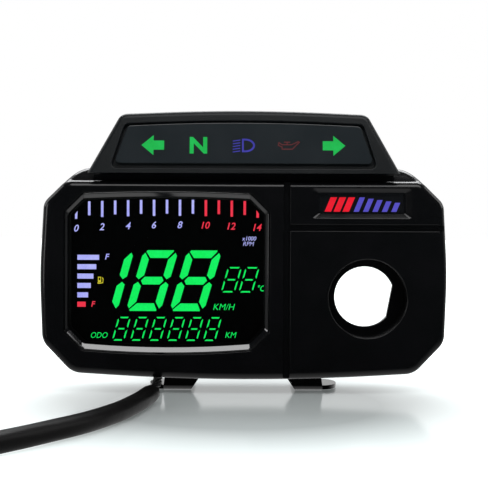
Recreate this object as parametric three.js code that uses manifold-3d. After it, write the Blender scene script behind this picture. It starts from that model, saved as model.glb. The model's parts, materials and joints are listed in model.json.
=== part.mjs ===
// Motorcycle instrument cluster with an ignition switch opening, on its two-footed steel bracket.
// Millimetres. X runs to the rider's right, Z is up and -Y faces the rider.
// Depths (y) are counted back from the plane of the main face; the whole model is then moved
// by CENTRE_DEPTH so that the origin is under the middle of the cluster, on the surface it stands on.
import * as THREE from 'three';
import { mergeVertices } from 'three/addons/utils/BufferGeometryUtils.js';
import loadManifold from 'manifold-3d';

const wasm = await loadManifold();
wasm.setup();

// ---- driving dimensions -------------------------------------------------------------------

const GAP = 0.3; // between neighbouring pieces
const PROUD = 1; // how far a cutter runs past the surface that it cuts
const CENTRE_DEPTH = 21.25;

// front cover
const FACE_TOP = 97.8;
const SHOULDER_TOP = 103.7;
const EDGE_RADIUS = 3.5;
const COVER_DEPTH = 10;
const FACE_WALL = 3;
const SHELL_WALL = 2.4;
const GROOVE_DEPTH = 1.6;

// display opening and the stack behind it
const BEZEL = { left: -81.6, right: 11.7, bottom: 20.4, top: 91.8, cut: 8.2 };
const WINDOW = { left: -80.1, right: 10, bottom: 23.2, top: 89.5, cut: 7 };
const BEZEL_DEPTH = 3.6;
const BEZEL_BACK = 5;

const LCD_CONNECTOR = { left: -71, right: 1 };
const LCD_FRAME = { left: -77, right: 7, bottom: 31, top: 84 };
const LCD_FRAME_WALL = 2.5;
const BOARD_FRONT = 14.5;
const BOARD_BACK = 16.1;
const CHIPS_FRONT = BOARD_BACK + GAP;

// badge window
const BADGE_RIM = { left: 31, right: 76.8, bottom: 80.9, top: 94.4 };
const BADGE_HOLE = { left: 34.2, right: 73.9, bottom: 83, top: 92.6 };
const BADGE_PANE = { left: 32.4, right: 75.7, bottom: 81.2, top: 94 };
const BADGE_CELLS = [[34, 54], [55, 74.1]];

// ignition switch opening
const SWITCH = { x: 56.8, z: 44.2 };
const SWITCH_MOUTH_R = 18;
const SWITCH_TUBE_R = 20.2;
const SWITCH_FLOOR = 15;
const SWITCH_FLOOR_BACK = 18;
const SWITCH_HOLE_R = 14.1;
const SWITCH_FLAT = 0.84; // distance of the flat from the centre, as a share of the radius
const SWITCH_FLAT_ANGLE = -10.9; // degrees

// rear housing
const FLANGE_FRONT = 11.4;
const FLANGE_BACK = 14;
const HOUSING_BACK = 46;
const HOUSING = { half: 80, bottom: 20, top: 99.5 };
const HOUSING_EDGE = 4;

// hood with the five indicators
const HOOD_FRONT = -3.5;
const HOOD_BACK = 34;
const HOOD_WALL = 2.4;
const HOOD_SLOPE = 0.5424; // how much each side runs out per millimetre down
const HOOD_LEAN = Math.tan(THREE.MathUtils.degToRad(12));
const HOOD_CHIN = 101.1;
const HOOD_BASE = 100.1;
const HOOD_FACE = { half: 56.2, top: 128.2 };
const HOOD_REAR = { half: 50, top: 121.5 };
const HOOD_CORNER_R = 5;
const LENS_RECESS = 2.9;
const LENS_LEDGE = 1.8;
const INDICATOR_PITCH = 20.6;
const INDICATORS = ['turn_left', 'neutral', 'high_beam', 'oil', 'turn_right'];

// fasteners
const CASE_SCREWS = [[-81.6, 88.6], [81.6, 88.6], [-86.4, 52], [86.4, 52], [-52, 14.2], [52, 14.2]];
const BOARD_SCREWS = [[-69, 33], [30, 33], [30, 82], [-69, 82]];
const BRACKET_SCREWS = [[-27, 25], [27, 25], [27, 38], [-27, 38]];
const HOOD_SCREWS = [[-49, 25], [49, 25]];
const PILOT_R = 1.75;
const PILOT_SIDES = 10;
const SHANK_R = 1.45;

// bracket
const PLATE = 2;
const LEG_HALF = 37.3;
const LEG_FRONT = 14.3;
const BEND_R = 2.5;
const BRACKET_BACK = 43;
const FOOT_BACK = 40;
const FOOT_OUTER = 44.6;
const FOOT_INNER = 24.5;
const FOOT_HOLE = { x: 33, y: 28, r: 3.3 };
const FOOT_END = 7; // how far the rounded end runs out

// wiring
const GROMMET = { x: -50, z: 40 };
const WIRES_D = 4.4;
const SLEEVE_D = 8.2;
const BOOT = { length: 9, thin: 4.1, thick: 5.2, lift: 1 };
const CONNECTOR = { length: 27, half: 9.5, bottom: -4.2, top: 7 };
const SOCKET = { depth: 14, half: 7.8, bottom: -2.6, top: 5.4 };

// ---- materials ----------------------------------------------------------------------------

const material = (color, roughness, metalness = 0) => (
  new THREE.MeshStandardMaterial({ color, roughness, metalness })
);
const faceBlack = material(0x0c0c0e, 0.3);
const hoodBlack = material(0x25292c, 0.5);
const bezelBlack = material(0x141519, 0.12);
const smokedLens = material(0x1c2023, 0.08);
const clearWindow = material(0x0a0d0d, 0.05);
const rearBlack = material(0x17181a, 0.6);
const rubberBlack = material(0x0f0f10, 0.85);
const whitePlastic = material(0xd8d8d4, 0.55);
const lcdBlack = material(0x050706, 0.1);
const boardGreen = material(0x14503a, 0.5);
const chipBlack = material(0x1a1a1c, 0.45);
const capacitorGrey = material(0x8d9194, 0.35, 0.8);
const ledAmber = material(0xe8e2c0, 0.3);
const screwSteel = material(0x7a7c80, 0.35, 0.9);
const paintedSteel = material(0x0d0d0e, 0.15, 0.2);
const sleeveBlack = material(0x101012, 0.3);

// ---- shapes -------------------------------------------------------------------------------

// A closed outline in the X-Z plane, anticlockwise seen from the rider's side.
// Each corner is [x, z, radius] and is rounded to an arc.
function rounded(corners) {
  const points = [];
  corners.forEach(([x, z, radius], i) => {
    const before = corners.at(i - 1);
    const after = corners[(i + 1) % corners.length];
    const here = new THREE.Vector2(x, z);
    const back = new THREE.Vector2(before[0], before[1]).sub(here).normalize();
    const onward = new THREE.Vector2(after[0], after[1]).sub(here).normalize();
    const turn = Math.PI - Math.acos(THREE.MathUtils.clamp(back.dot(onward), -1, 1));
    const reach = radius * Math.tan(turn / 2);
    const bisector = back.clone().add(onward).normalize();
    const centre = here.clone().addScaledVector(bisector, radius / Math.cos(turn / 2));
    const start = here.clone().addScaledVector(back, reach);
    const steps = Math.max(2, Math.round(turn / THREE.MathUtils.degToRad(16)));
    for (let k = 0; k <= steps; k += 1) {
      points.push(start.clone().rotateAround(centre, turn * (k / steps)));
    }
  });
  return points;
}

function rectangle({ left, right, bottom, top }, radius) {
  const lower = [[left, bottom, radius], [right, bottom, radius]];
  return rounded([...lower, [right, top, radius], [left, top, radius]]);
}

// The outline moved inwards by a distance; a negative distance moves it outwards.
function inset(points, distance) {
  return points.map((here, i) => {
    const a = here.clone().sub(points.at(i - 1)).normalize();
    const b = points[(i + 1) % points.length].clone().sub(here).normalize();
    const inward = new THREE.Vector2(-a.y - b.y, a.x + b.x).normalize();
    return here.clone().addScaledVector(inward, distance / Math.sqrt((1 + a.dot(b)) / 2));
  });
}

function between(first, second, share) {
  return first.map((p, i) => p.clone().lerp(second[i], share));
}

// A closed body through outlines of equal point count, given from front to back as [y, outline].
function loft(rings) {
  const count = rings[0][1].length;
  const positions = rings.flatMap(([y, points]) => points.flatMap((p) => [p.x, y, p.y]));
  const index = [];
  for (let r = 0; r < rings.length - 1; r += 1) {
    for (let k = 0; k < count; k += 1) {
      const a = r * count + k;
      const b = r * count + ((k + 1) % count);
      index.push(a, a + count, b, b, a + count, b + count);
    }
  }
  const last = (rings.length - 1) * count;
  THREE.ShapeUtils.triangulateShape(rings[0][1], []).forEach(([a, b, c]) => index.push(a, b, c));
  THREE.ShapeUtils.triangulateShape(rings.at(-1)[1], []).forEach(([a, b, c]) => {
    index.push(last + a, last + c, last + b);
  });
  const geometry = new THREE.BufferGeometry();
  geometry.setAttribute('position', new THREE.Float32BufferAttribute(positions, 3));
  geometry.setIndex(index);
  return geometry;
}

function solid(geometry) {
  const bare = geometry.clone();
  bare.deleteAttribute('normal');
  bare.deleteAttribute('uv');
  const merged = mergeVertices(bare, 1e-4);
  return new wasm.Manifold(new wasm.Mesh({
    numProp: 3,
    vertProperties: new Float32Array(merged.attributes.position.array),
    triVerts: new Uint32Array(merged.index.array),
  }));
}

function geometryOf(body) {
  const cut = body.getMesh();
  const geometry = new THREE.BufferGeometry();
  geometry.setAttribute('position', new THREE.BufferAttribute(new Float32Array(cut.vertProperties), 3));
  geometry.setIndex(new THREE.BufferAttribute(new Uint32Array(cut.triVerts), 1));
  geometry.computeVertexNormals();
  return geometry;
}

const prism = (points, front, back) => solid(loft([[front, points], [back, points]]));

const pointsOf = (list) => list.map(([x, z]) => new THREE.Vector2(x, z));

function block(x0, x1, y0, y1, z0, z1) {
  const box = new THREE.BoxGeometry(x1 - x0, y1 - y0, z1 - z0);
  return solid(box.translate((x0 + x1) / 2, (y0 + y1) / 2, (z0 + z1) / 2));
}

// A flat rectangular slab that faces the rider.
const slab = ({ left, right, bottom, top }, front, back) => block(left, right, front, back, bottom, top);

// The same rectangle with a border taken off all round.
const shrunk = ({ left, right, bottom, top }, border) => (
  { left: left + border, right: right - border, bottom: bottom + border, top: top - border }
);

// A round bar or round hole that runs front to back at (x, z).
function barY(x, z, radius, front, back, sides = 12) {
  const bar = new THREE.CylinderGeometry(radius, radius, back - front, sides);
  return solid(bar.translate(x, (front + back) / 2, z));
}

// A round bar or round hole that stands upright at (x, y).
function barZ(x, y, radius, bottom, top, sides = 12) {
  const bar = new THREE.CylinderGeometry(radius, radius, top - bottom, sides).rotateX(Math.PI / 2);
  return solid(bar.translate(x, y, (bottom + top) / 2));
}

// A tapping screw on the Y axis: its head's underside is at y = 0 and its shank runs to -length.
function screwGeometry(length, headR, headHeight) {
  const profile = [
    [0, -length],
    [SHANK_R * 0.5, -length],
    [SHANK_R, -length + 1.5],
    [SHANK_R, 0],
    [headR, 0],
    [headR, headHeight * 0.55],
    [headR * 0.6, headHeight],
    [0, headHeight],
  ];
  return new THREE.LatheGeometry(profile.map(([r, y]) => new THREE.Vector2(r, y)), 10);
}

// ---- outlines -----------------------------------------------------------------------------

// The case seen from the front. The lower edge and the sides bow outwards a little.
function caseOutline(top, topHalf, topRadius) {
  const right = [
    [77.1, 10.2, 10], [91.5, 25.1, 9], [92.7, 56, 220], [91.2, 87.7, 7], [topHalf, top, topRadius],
  ];
  const left = right.toReversed().map(([x, z, r]) => [-x, z, r]);
  return rounded([[0, 5, 1030], ...right, ...left]);
}

const faceOutline = caseOutline(FACE_TOP, 81.1, 7);
const shoulderOutline = caseOutline(SHOULDER_TOP, 75.6, 14);
const housingOutline = rounded([
  [-70, HOUSING.bottom, 7], [70, HOUSING.bottom, 7], [HOUSING.half, 30, 7], [HOUSING.half, 85.5, 7],
  [66, HOUSING.top, 7], [-66, HOUSING.top, 7], [-HOUSING.half, 85.5, 7], [-HOUSING.half, 30, 7],
]);

// A display outline: a rectangle with its corners cut off, and a slightly bowed top and bottom.
function displayOutline({ left, right, bottom, top, cut }, cornerRadius) {
  const middle = (left + right) / 2;
  return rounded([
    [left + cut, bottom, cornerRadius], [middle, bottom - 3, 440], [right - cut, bottom, cornerRadius],
    [right, bottom + cut, cornerRadius], [right, top - cut, cornerRadius],
    [right - cut, top, cornerRadius], [middle, top + 1.8, 740], [left + cut, top, cornerRadius],
    [left, top - cut, cornerRadius], [left, bottom + cut, cornerRadius],
  ]);
}

const bezelOutline = displayOutline(BEZEL, 2.5);
const windowOutline = displayOutline(WINDOW, 2.5);

// A section of the hood: a trapezium under a slightly bowed top edge.
function hoodOutline(half, top, base, cornerRadius) {
  const foot = half + (top - base) * HOOD_SLOPE;
  return rounded([
    [-foot, base, 4], [foot, base, 4],
    [half, top, cornerRadius], [0, top + 2.4, 850], [-half, top, cornerRadius],
  ]);
}

const hoodFrontOutline = hoodOutline(HOOD_FACE.half, HOOD_FACE.top, HOOD_BASE, HOOD_CORNER_R);
const hoodBackOutline = hoodOutline(HOOD_REAR.half, HOOD_REAR.top, HOOD_BASE, HOOD_CORNER_R);
const lensOutline = rounded([
  [-59.3, 104.9, 2.2], [59.3, 104.9, 2.2], [53, 122.8, 2.2], [0, 125.2, 900], [-53, 122.8, 2.2],
]);

// ---- the assembly -------------------------------------------------------------------------

const cluster = new THREE.Group();
cluster.name = 'instrument_cluster';
cluster.position.y = -CENTRE_DEPTH;

function addPart(name, shape, finish) {
  const geometry = shape.isBufferGeometry ? shape : geometryOf(shape);
  const mesh = new THREE.Mesh(geometry, finish);
  mesh.name = name;
  cluster.add(mesh);
  return mesh;
}

// Rings that round the front edge of an outline, from its front plane back to the full outline.
function roundedFront(outline, front, radius, steps) {
  return Array.from({ length: steps + 1 }, (_, k) => {
    const angle = (Math.PI / 2) * (k / steps);
    return [front + radius * (1 - Math.cos(angle)), inset(outline, radius * (1 - Math.sin(angle)))];
  });
}

function roundedBack(outline, back, radius, steps) {
  return roundedFront(outline, 0, radius, steps).map(([y, ring]) => [back - y, ring]).reverse();
}

// The round switch hole with one flat side, as an outline.
function switchHoleOutline(radius) {
  const flat = THREE.MathUtils.degToRad(SWITCH_FLAT_ANGLE);
  const halfGap = Math.acos(SWITCH_FLAT);
  const steps = 22;
  return Array.from({ length: steps + 1 }, (_, k) => {
    const angle = flat + halfGap + (2 * Math.PI - 2 * halfGap) * (k / steps);
    return new THREE.Vector2(SWITCH.x + radius * Math.cos(angle), SWITCH.z + radius * Math.sin(angle));
  });
}

function frontCover() {
  const outer = solid(loft([
    ...roundedFront(faceOutline, 0, EDGE_RADIUS, 3),
    [5.5, between(faceOutline, shoulderOutline, 0.45)],
    [7.7, between(faceOutline, shoulderOutline, 0.85)],
    [COVER_DEPTH, shoulderOutline],
  ]));
  const hollow = solid(loft([
    [FACE_WALL, inset(faceOutline, 3.6)],
    [5.5, inset(between(faceOutline, shoulderOutline, 0.45), SHELL_WALL)],
    [7.7, inset(between(faceOutline, shoulderOutline, 0.85), SHELL_WALL)],
    [COVER_DEPTH + PROUD, inset(shoulderOutline, SHELL_WALL)],
  ]));
  let cover = outer.subtract(hollow);

  cover = cover.add(barY(SWITCH.x, SWITCH.z, SWITCH_TUBE_R, FACE_WALL / 2, SWITCH_FLOOR_BACK, 36));
  cover = cover.subtract(barY(SWITCH.x, SWITCH.z, SWITCH_MOUTH_R, -PROUD, SWITCH_FLOOR, 36));
  const barrelHole = prism(switchHoleOutline(SWITCH_HOLE_R), SWITCH_FLOOR - PROUD, SWITCH_FLOOR_BACK + PROUD);
  cover = cover.subtract(barrelHole);

  cover = cover.subtract(prism(inset(bezelOutline, -GAP), -PROUD, FACE_WALL + PROUD));
  const badgeRim = rectangle(BADGE_RIM, 1.6);
  const badgeHole = rectangle(BADGE_HOLE, 0.8);
  const badgeCut = loft([
    [-PROUD, badgeRim], [0, badgeRim], [1.7, badgeHole], [FACE_WALL + PROUD, badgeHole],
  ]);
  cover = cover.subtract(solid(badgeCut));

  cover = cover.subtract(block(18.2, 21.2, -PROUD, GROOVE_DEPTH, 0, 110));
  cover = cover.subtract(block(20.5, 100, -PROUD, GROOVE_DEPTH, 75.1, 77.9));

  CASE_SCREWS.forEach(([x, z]) => {
    cover = cover.add(barY(x, z, 2.8, FACE_WALL / 2, COVER_DEPTH));
    cover = cover.subtract(barY(x, z, PILOT_R, 4.5, COVER_DEPTH + PROUD, PILOT_SIDES));
  });
  addPart('front_cover', cover, faceBlack);
}

function displayStack() {
  const opening = inset(bezelOutline, 0.5);
  let bezel = prism(bezelOutline, 0.2, FACE_WALL + GAP);
  bezel = bezel.add(prism(inset(bezelOutline, -1.2), FACE_WALL + GAP, BEZEL_BACK));
  const bevel = loft([
    [-PROUD, opening], [0.2, opening], [BEZEL_DEPTH, windowOutline], [BEZEL_BACK + PROUD, windowOutline],
  ]);
  bezel = bezel.subtract(solid(bevel));
  CASE_SCREWS.forEach(([x, z]) => {
    bezel = bezel.subtract(barY(x, z, 2.8 + GAP, FACE_WALL - 0.1, BEZEL_BACK + PROUD));
  });
  addPart('display_bezel', bezel, bezelBlack);

  const plate = inset(windowOutline, -2);
  addPart('display_window', loft([[5.3, plate], [6.8, plate]]), clearWindow);
  const gasketHole = inset(windowOutline, 0.6);
  const gasket = prism(inset(windowOutline, -1.2), 7.1, 7.7);
  addPart('window_gasket', gasket.subtract(prism(gasketHole, 6.5, 8.5)), rubberBlack);

  const glass = inset(windowOutline, -1);
  addPart('lcd_glass', loft([[8, glass], [10.2, glass]]), lcdBlack);
  const frameHole = shrunk(LCD_FRAME, LCD_FRAME_WALL);
  const lcdFrame = slab(LCD_FRAME, 10.5, 12.1);
  addPart('lcd_frame', lcdFrame.subtract(slab(frameHole, 10, 13)), whitePlastic);
  addPart('backlight_diffuser', slab(shrunk(frameHole, GAP), 10.5, 12.1), whitePlastic);
  addPart('lcd_connector_top', slab({ ...LCD_CONNECTOR, bottom: 86.5, top: 88.5 }, 10.5, 14.2), chipBlack);
  addPart('lcd_connector_bottom', slab({ ...LCD_CONNECTOR, bottom: 26.5, top: 28.5 }, 10.5, 14.2), chipBlack);
}

function mainBoard() {
  const outline = rounded([
    [-68, 25, 1], [34, 25, 1], [34, 90, 1], [-68, 90, 1], [-76, 82, 1], [-76, 33, 1],
  ]);
  let board = prism(outline, BOARD_FRONT, BOARD_BACK);
  BOARD_SCREWS.forEach(([x, z]) => {
    board = board.subtract(barY(x, z, PILOT_R, BOARD_FRONT - PROUD, BOARD_BACK + PROUD, PILOT_SIDES));
  });
  addPart('main_board', board, boardGreen);
  addPart('microcontroller', block(-32, -18, CHIPS_FRONT, 18, 50, 64), chipBlack);
  addPart('voltage_regulator', block(4, 14, CHIPS_FRONT, 18.8, 38, 47), chipBlack);
  addPart('filter_capacitor', barY(12, 62, 5, CHIPS_FRONT, 28.4), capacitorGrey);

  const header = block(-61, -39, CHIPS_FRONT, 25, 36, 44);
  addPart('harness_header', header.subtract(block(-60, -40, 18, 26, 37, 43)), whitePlastic);
  addPart('harness_plug', block(-59.7, -40.3, 18.3, 30, 37.3, 42.7), whitePlastic);

  BOARD_SCREWS.forEach(([x, z], i) => {
    const screw = screwGeometry(9, 2.6, 1.5).rotateX(Math.PI).translate(x, BOARD_FRONT - GAP, z);
    addPart(`board_screw_${i + 1}`, screw, screwSteel);
  });
}

function badge() {
  const pane = rectangle(BADGE_PANE, 1);
  addPart('badge_window', loft([[3.3, pane], [4.8, pane]]), smokedLens);
  let box = slab(BADGE_PANE, 5.1, 9.5);
  BADGE_CELLS.forEach(([left, right]) => {
    box = box.subtract(slab({ left, right, bottom: 82.6, top: 92.6 }, 4, 12));
  });
  addPart('badge_light_box', box, whitePlastic);
  addPart('badge_board', slab(BADGE_PANE, 9.8, 11.1), boardGreen);
  addPart('badge_led_left', block(42.3, 45.7, 7.9, 9.5, 86.2, 89), ledAmber);
  addPart('badge_led_right', block(62.8, 66.2, 7.9, 9.5, 86.2, 89), ledAmber);
}

function rearHousing() {
  let housing = prism(inset(shoulderOutline, 1), FLANGE_FRONT, FLANGE_BACK);
  housing = housing.add(solid(loft([
    [FLANGE_FRONT + 0.5, housingOutline],
    ...roundedBack(housingOutline, HOUSING_BACK, HOUSING_EDGE, 3),
  ])));
  const cavity = inset(housingOutline, SHELL_WALL);
  housing = housing.subtract(prism(cavity, FLANGE_FRONT - PROUD, HOUSING_BACK - SHELL_WALL));

  const tunnelR = SWITCH_TUBE_R + GAP;
  const wallFront = HOUSING_BACK - SHELL_WALL - PROUD;
  housing = housing.subtract(barY(SWITCH.x, SWITCH.z, tunnelR, wallFront, HOUSING_BACK + PROUD, 36));

  BOARD_SCREWS.forEach(([x, z]) => {
    housing = housing.add(barY(x, z, 3, CHIPS_FRONT, HOUSING_BACK - 1));
    housing = housing.subtract(barY(x, z, PILOT_R, BOARD_FRONT, 28, PILOT_SIDES));
  });
  BRACKET_SCREWS.forEach(([x, y]) => {
    housing = housing.add(barZ(x, y, 3.6, HOUSING.bottom + 1, 31));
    housing = housing.subtract(barZ(x, y, PILOT_R, HOUSING.bottom - PROUD, 29, PILOT_SIDES));
  });
  HOOD_SCREWS.forEach(([x, y]) => {
    housing = housing.subtract(barZ(x, y, PILOT_R, HOUSING.top - 4, HOUSING.top + PROUD, PILOT_SIDES));
  });
  CASE_SCREWS.forEach(([x, z]) => {
    housing = housing.subtract(barY(x, z, PILOT_R, FLANGE_FRONT - PROUD, FLANGE_BACK + PROUD, PILOT_SIDES));
  });
  housing = housing.subtract(block(-12, 12, 20, 26, HOUSING.top - 4, HOUSING.top + PROUD));
  housing = housing.subtract(barY(GROMMET.x, GROMMET.z, 4.5, HOUSING_BACK - 4, HOUSING_BACK + PROUD, 16));
  addPart('rear_housing', housing, rearBlack);

  // The tube that carries the switch opening on through the housing.
  const tubeFront = SWITCH_FLOOR_BACK + GAP;
  const tube = barY(SWITCH.x, SWITCH.z, SWITCH_TUBE_R, tubeFront, HOUSING_BACK, 36);
  const bore = barY(SWITCH.x, SWITCH.z, SWITCH_MOUTH_R, tubeFront - PROUD, HOUSING_BACK + PROUD, 36);
  addPart('switch_tube', tube.subtract(bore), rearBlack);

  const seal = prism(inset(shoulderOutline, 1), COVER_DEPTH + GAP, FLANGE_FRONT - GAP);
  const sealHole = prism(inset(shoulderOutline, 2.6), COVER_DEPTH, FLANGE_FRONT);
  addPart('housing_seal', seal.subtract(sealHole), rubberBlack);

  CASE_SCREWS.forEach(([x, z], i) => {
    const screw = screwGeometry(9.5, 2.6, 2).translate(x, FLANGE_BACK + GAP, z);
    addPart(`case_screw_${i + 1}`, screw, screwSteel);
  });
}

// Leans a piece of the hood back: the front face by the full angle, the back wall not at all.
function leaned(body) {
  const geometry = geometryOf(body);
  const position = geometry.attributes.position;
  for (let i = 0; i < position.count; i += 1) {
    const y = position.getY(i);
    const share = (HOOD_BACK - y) / (HOOD_BACK - HOOD_FRONT);
    position.setY(i, y + (position.getZ(i) - HOOD_CHIN) * HOOD_LEAN * share);
  }
  geometry.computeVertexNormals();
  return geometry;
}

function indicatorHood() {
  let hood = solid(loft([
    ...roundedFront(hoodFrontOutline, HOOD_FRONT, 2.2, 3),
    ...roundedBack(hoodBackOutline, HOOD_BACK, 3, 2),
  ]));
  const wallBack = HOOD_FRONT + 4.1;
  const side = HOOD_WALL + 0.6;
  const innerFront = hoodOutline(HOOD_FACE.half - side, HOOD_FACE.top - HOOD_WALL, 92, 3);
  const innerBack = hoodOutline(HOOD_REAR.half - side, HOOD_REAR.top - HOOD_WALL, 92, 3);
  hood = hood.subtract(solid(loft([[wallBack, innerFront], [HOOD_BACK - HOOD_WALL, innerBack]])));
  hood = hood.subtract(prism(lensOutline, HOOD_FRONT - PROUD, HOOD_FRONT + LENS_RECESS));
  hood = hood.subtract(prism(inset(lensOutline, LENS_LEDGE), HOOD_FRONT, wallBack + PROUD));
  HOOD_SCREWS.forEach(([x, y]) => {
    hood = hood.add(barZ(x, y, 3.2, HOOD_BASE, 121.6));
    hood = hood.subtract(barZ(x, y, PILOT_R, HOOD_BASE - PROUD, 109, PILOT_SIDES));
  });
  const step = FLANGE_BACK + GAP;
  hood = hood.subtract(block(-80, 80, -10, step, 90, HOOD_CHIN));
  hood = hood.subtract(block(-80, 80, 5.5, step, 90, SHOULDER_TOP + 0.4));
  addPart('indicator_hood', leaned(hood), hoodBlack);

  const lens = prism(inset(lensOutline, GAP), HOOD_FRONT + 1.2, HOOD_FRONT + LENS_RECESS - GAP);
  addPart('indicator_lens', leaned(lens), smokedLens);

  let baffle = block(-51.8, 51.8, 0.9, 9, 106.2, 121.2);
  INDICATORS.forEach((name, i) => {
    const x = (i - 2) * INDICATOR_PITCH;
    baffle = baffle.subtract(block(x - 9.2, x + 9.2, 0, 10, 107.7, 119.7));
    const led = block(x - 1.7, x + 1.7, 7.4, 9, 112.3, 115.1);
    addPart(`indicator_led_${name}`, leaned(led), ledAmber);
  });
  addPart('indicator_baffle', leaned(baffle), whitePlastic);
  addPart('indicator_board', leaned(block(-51, 51, 9.3, 10.9, 105.8, 121.2)), boardGreen);

  HOOD_SCREWS.forEach(([x, y], i) => {
    const head = HOUSING.top - SHELL_WALL - GAP;
    const screw = screwGeometry(10, 2.6, 2).rotateX(-Math.PI / 2).translate(x, y, head);
    addPart(`hood_screw_${i + 1}`, screw, screwSteel);
  });
}

// The bracket's section seen from the side: a plate under the housing, a leg and a foot,
// bent from one strip. The outer bends are round.
function bracketStrip() {
  const top = HOUSING.bottom - GAP;
  const strip = new THREE.Shape();
  const inner = BEND_R + 0.7;
  strip.moveTo(LEG_FRONT, BEND_R);
  strip.absarc(LEG_FRONT + BEND_R, BEND_R, BEND_R, Math.PI, 1.5 * Math.PI, false);
  strip.lineTo(FOOT_BACK, 0);
  strip.lineTo(FOOT_BACK, PLATE);
  strip.lineTo(LEG_FRONT + inner, PLATE);
  strip.lineTo(LEG_FRONT + PLATE, inner);
  strip.lineTo(LEG_FRONT + PLATE, top - inner);
  strip.lineTo(LEG_FRONT + inner, top - PLATE);
  strip.lineTo(BRACKET_BACK, top - PLATE);
  strip.lineTo(BRACKET_BACK, top);
  strip.lineTo(LEG_FRONT + BEND_R, top);
  strip.absarc(LEG_FRONT + BEND_R, top - BEND_R, BEND_R, 0.5 * Math.PI, Math.PI, false);
  const width = 2 * LEG_HALF;
  const strips = new THREE.ExtrudeGeometry(strip, { depth: width, bevelEnabled: false, curveSegments: 4 });
  // The section's own axes are (y, z): turn it so that it runs along X.
  const turn = new THREE.Matrix4().makeBasis(
    new THREE.Vector3(0, 1, 0),
    new THREE.Vector3(0, 0, 1),
    new THREE.Vector3(1, 0, 0),
  );
  return solid(strips.applyMatrix4(turn).translate(-width / 2, 0, 0));
}

// One foot's plate seen from above, with a rounded outer end.
function footPlate(side) {
  const front = LEG_FRONT + BEND_R + 1;
  const middle = (front + FOOT_BACK) / 2;
  const half = (FOOT_BACK - front) / 2;
  const foot = new THREE.Shape();
  foot.moveTo(FOOT_INNER, front);
  foot.lineTo(FOOT_OUTER - FOOT_END, front);
  foot.absellipse(FOOT_OUTER - FOOT_END, middle, FOOT_END, half, -Math.PI / 2, Math.PI / 2, false);
  foot.lineTo(FOOT_INNER, FOOT_BACK);
  const outline = foot.getPoints(10).map((p) => new THREE.Vector2(side * p.x, p.y));
  return solid(new THREE.ExtrudeGeometry(new THREE.Shape(outline), { depth: PLATE, bevelEnabled: false }));
}

function mountingBracket() {
  const top = HOUSING.bottom;
  let bracket = bracketStrip();
  // A wide cut between the two legs, whose inner edges lean together towards the top.
  const legGap = pointsOf([[-FOOT_INNER - 0.7, -PROUD], [FOOT_INNER + 0.7, -PROUD], [18.5, 9], [-18.5, 9]]);
  bracket = bracket.subtract(prism(legGap, LEG_FRONT - PROUD, FOOT_BACK + PROUD));
  [-1, 1].forEach((side) => {
    // The outer edges lean the same way.
    const far = LEG_HALF + 13;
    const beside = pointsOf([[34.6, top + PROUD], [LEG_HALF, PLATE], [far, PLATE], [far, top + PROUD]]);
    beside.forEach((p) => p.setX(side * p.x));
    if (side < 0) {
      beside.reverse();
    }
    bracket = bracket.subtract(prism(beside, LEG_FRONT - PROUD, BRACKET_BACK + PROUD));
    bracket = bracket.add(footPlate(side));
    bracket = bracket.subtract(barZ(side * FOOT_HOLE.x, FOOT_HOLE.y, FOOT_HOLE.r, -PROUD, PLATE + PROUD, 16));
  });
  BRACKET_SCREWS.forEach(([x, y]) => {
    bracket = bracket.subtract(barZ(x, y, PILOT_R + 0.4, top - 2 * PLATE, top + PROUD, PILOT_SIDES));
  });
  addPart('mounting_bracket', bracket, paintedSteel);

  BRACKET_SCREWS.forEach(([x, y], i) => {
    const head = top - GAP - PLATE - GAP;
    const screw = screwGeometry(9.5, 3, 2.2).rotateX(-Math.PI / 2).translate(x, y, head);
    addPart(`bracket_screw_${i + 1}`, screw, screwSteel);
  });
}

// ---- wiring -------------------------------------------------------------------------------

// The wires leave the back of the housing, turn down and come forward under it, and enter a sleeve.
const WIRES_ROUTE = [
  [-50, 51.2, 40], [-50, 56, 40], [-49.8, 61, 39.3], [-49.5, 66.6, 36.6], [-49, 71.6, 31], [-48.5, 74, 24],
  [-47.5, 73, 16.6], [-46.5, 69.4, 11], [-45.3, 63.6, 6.8], [-44.2, 56, 4.8], [-43, 47, 4.6],
  [-41.8, 38, 4.8], [-40.8, 28, 4.9], [-40.2, 18, 4.9], [-39.8, 8, 4.6], [-39.6, -2, 4.3],
  [-39.6, -12, 4.25], [-39.9, -22, 4.25],
];

// The sleeve lies on the surface: it bends to the rider's left and turns back beside the cluster.
const SLEEVE_ROUTE = [
  [-39.9, -22.4, 4.25], [-41.2, -32, 4.2], [-43.2, -44, 4.2], [-46.2, -57, 4.2], [-50.4, -71, 4.2],
  [-55.8, -85, 4.2], [-62.5, -98, 4.2], [-70, -109.6, 4.2], [-77.5, -120.2, 4.2], [-84.4, -130, 4.2],
  [-92, -141, 4.2], [-101, -151.6, 4.2], [-112, -160.6, 4.2], [-125, -166.6, 4.2], [-139, -168, 4.2],
  [-152.5, -164.4, 4.2], [-163.6, -156, 4.2], [-170.8, -144.4, 4.2], [-173.2, -131, 4.2], [-173.2, -118, 4.2],
  [-173.2, -105, 4.2], [-173.2, -94, 4.2],
];

function tubeAlong(route, diameter, sides, steps) {
  const line = new THREE.CatmullRomCurve3(route.map(([x, y, z]) => new THREE.Vector3(x, y, z)));
  const section = new THREE.Shape();
  for (let k = 0; k < sides; k += 1) {
    const angle = (2 * Math.PI * k) / sides;
    const point = [(diameter / 2) * Math.cos(angle), (diameter / 2) * Math.sin(angle)];
    if (k === 0) {
      section.moveTo(...point);
    } else {
      section.lineTo(...point);
    }
  }
  section.closePath();
  return new THREE.ExtrudeGeometry(section, { extrudePath: line, steps });
}

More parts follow.
